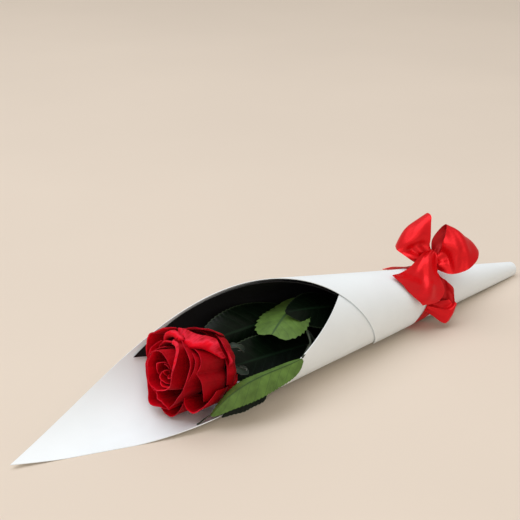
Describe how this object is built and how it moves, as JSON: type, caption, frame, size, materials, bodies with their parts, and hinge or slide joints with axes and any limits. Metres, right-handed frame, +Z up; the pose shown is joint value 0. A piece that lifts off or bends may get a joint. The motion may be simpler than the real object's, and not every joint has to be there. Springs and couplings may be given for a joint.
{
  "type": "rose in a paper cone",
  "caption": "Single rose on a leafy stem, lying in a rolled paper cone with a dark inner sheet and tied near its narrow end with a satin ribbon bow.",
  "frame": {"origin": "bottom centre of the whole, on the surface that the cone lies on", "axes": "+X along the cone from its open mouth to its narrow end, +Z up, -Y towards the side that the bow faces"},
  "size_m": [0.4918, 0.0936, 0.0837],
  "materials": {
    "outer_paper": "smooth white paper with a faint sheen",
    "inner_paper": "matte black paper",
    "satin": "red satin ribbon",
    "petal": "velvety deep red petals",
    "leaf": "waxy green leaf, paler underneath"
  },
  "bodies": {
    "root": {"outer_wrap": "outer_paper", "liner": "inner_paper", "ribbon": "satin", "bloom": "petal", "leafy_stem": "leaf"}
  },
  "joints": []
}
